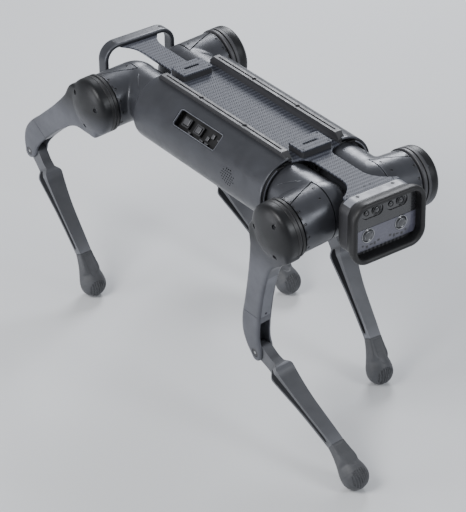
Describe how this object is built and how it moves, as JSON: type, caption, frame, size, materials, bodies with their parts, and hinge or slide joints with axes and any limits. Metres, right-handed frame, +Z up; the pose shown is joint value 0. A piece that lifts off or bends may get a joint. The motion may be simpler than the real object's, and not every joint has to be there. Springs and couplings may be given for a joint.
{
  "type": "quadruped robot dog",
  "caption": "Four-legged walking robot: barrel-sided trunk with a flat deck and rails, sensor head, tail hoop, and legs that roll and swing at the hip and bend at the knee.",
  "frame": {"origin": "on the floor, under the middle of the standing robot's outline", "axes": "+X forward along the trunk, +Y to the robot's left, +Z up"},
  "size_m": [0.9494, 0.3608, 0.5065],
  "materials": {
    "shell": "satin, moulded graphite",
    "deck": "woven composite, satin",
    "rail": "fine matt",
    "bumper": "soft matt",
    "visor": "gloss",
    "face_panel": "satin gloss",
    "lens": "polished",
    "seal": "matt",
    "battery": "matt",
    "board": "solder mask",
    "frame_metal": "machined",
    "ring": "satin",
    "strip": "satin",
    "bolt": "blackened",
    "limb": "satin",
    "foot_rubber": "matt, ribbed sole"
  },
  "bodies": {
    "trunk": {"trunk_frame": "frame_metal", "side_shell_right": "shell", "side_shell_left": "shell", "belly_cover": "shell", "top_plate": "deck", "rail_right": "rail", "rail_left": "rail", "strap_blocks": "rail", "head_frame": "bumper", "head_back": "shell", "visor_upper": "visor", "visor_lower": "face_panel", "head_lenses": "lens", "rear_hoop": "shell", "port_panel": "rail", "end_rings": "seal", "battery_pack": "battery", "main_board": "board", "abad_motors": "frame_metal"},
    "hip_fr": {"hip_housing_fr": "shell", "hip_cover_fr": "shell", "hip_motor_fr": "frame_metal"},
    "thigh_fr": {"thigh_rim_fr": "ring", "thigh_shell_fr": "shell", "thigh_strip_fr": "strip", "knee_motor_fr": "frame_metal", "knee_pin_fr": "bolt"},
    "shank_fr": {"shank_fr": "limb", "foot_fr": "foot_rubber"},
    "hip_fl": {"hip_housing_fl": "shell", "hip_cover_fl": "shell", "hip_motor_fl": "frame_metal"},
    "thigh_fl": {"thigh_rim_fl": "ring", "thigh_shell_fl": "shell", "thigh_strip_fl": "strip", "knee_motor_fl": "frame_metal", "knee_pin_fl": "bolt"},
    "shank_fl": {"shank_fl": "limb", "foot_fl": "foot_rubber"},
    "hip_rr": {"hip_housing_rr": "shell", "hip_cover_rr": "shell", "hip_motor_rr": "frame_metal"},
    "thigh_rr": {"thigh_rim_rr": "ring", "thigh_shell_rr": "shell", "thigh_strip_rr": "strip", "knee_motor_rr": "frame_metal", "knee_pin_rr": "bolt"},
    "shank_rr": {"shank_rr": "limb", "foot_rr": "foot_rubber"},
    "hip_rl": {"hip_housing_rl": "shell", "hip_cover_rl": "shell", "hip_motor_rl": "frame_metal"},
    "thigh_rl": {"thigh_rim_rl": "ring", "thigh_shell_rl": "shell", "thigh_strip_rl": "strip", "knee_motor_rl": "frame_metal", "knee_pin_rl": "bolt"},
    "shank_rl": {"shank_rl": "limb", "foot_rl": "foot_rubber"}
  },
  "joints": [
    {"name": "hip_roll_fr", "type": "hinge", "parent": "trunk", "child": "hip_fr", "pos_m": [0.29049, -0.06783, 0.4375], "axis": [-1, 0, 0], "range_deg": [-8.6, 45.4]},
    {"name": "hip_pitch_fr", "type": "hinge", "parent": "hip_fr", "child": "thigh_fr", "pos_m": [0.29049, -0.15803, 0.42897], "axis": [0, 0.9956, 0.0941], "range_deg": [-20, 65]},
    {"name": "knee_fr", "type": "hinge", "parent": "thigh_fr", "child": "shank_fr", "pos_m": [0.21652, -0.13205, 0.15414], "axis": [0, -0.9956, -0.0941], "range_deg": [-24.1, 65.9]},
    {"name": "hip_roll_fl", "type": "hinge", "parent": "trunk", "child": "hip_fl", "pos_m": [0.29049, 0.04017, 0.4375], "axis": [1, 0, 0], "range_deg": [-10.6, 43.4]},
    {"name": "hip_pitch_fl", "type": "hinge", "parent": "hip_fl", "child": "thigh_fl", "pos_m": [0.29049, 0.13061, 0.43213], "axis": [0, 0.9982, -0.0593], "range_deg": [-52.8, 32.2]},
    {"name": "knee_fl", "type": "hinge", "parent": "thigh_fl", "child": "shank_fl", "pos_m": [0.07877, 0.11923, 0.24049], "axis": [0, -0.9982, 0.0593], "range_deg": [-32.6, 57.4]},
    {"name": "hip_roll_rr", "type": "hinge", "parent": "trunk", "child": "hip_rr", "pos_m": [-0.23671, -0.06783, 0.4375], "axis": [-1, 0, 0], "range_deg": [-10.6, 43.4]},
    {"name": "hip_pitch_rr", "type": "hinge", "parent": "hip_rr", "child": "thigh_rr", "pos_m": [-0.23671, -0.15827, 0.43213], "axis": [0, 0.9982, 0.0593], "range_deg": [-54.7, 30.3]},
    {"name": "knee_rr", "type": "hinge", "parent": "thigh_rr", "child": "shank_rr", "pos_m": [-0.45468, -0.14731, 0.2476], "axis": [0, -0.9982, -0.0593], "range_deg": [-31.9, 58.1]},
    {"name": "hip_roll_rl", "type": "hinge", "parent": "trunk", "child": "hip_rl", "pos_m": [-0.23671, 0.04017, 0.4375], "axis": [1, 0, 0], "range_deg": [-17.5, 36.5]},
    {"name": "hip_pitch_rl", "type": "hinge", "parent": "hip_rl", "child": "thigh_rl", "pos_m": [-0.23671, 0.1306, 0.44303], "axis": [0, 0.9981, 0.061], "range_deg": [-21.2, 63.8]},
    {"name": "knee_rl", "type": "hinge", "parent": "thigh_rl", "child": "shank_rl", "pos_m": [-0.31645, 0.14736, 0.16909], "axis": [0, -0.9981, -0.061], "range_deg": [-21.7, 68.3]}
  ]
}
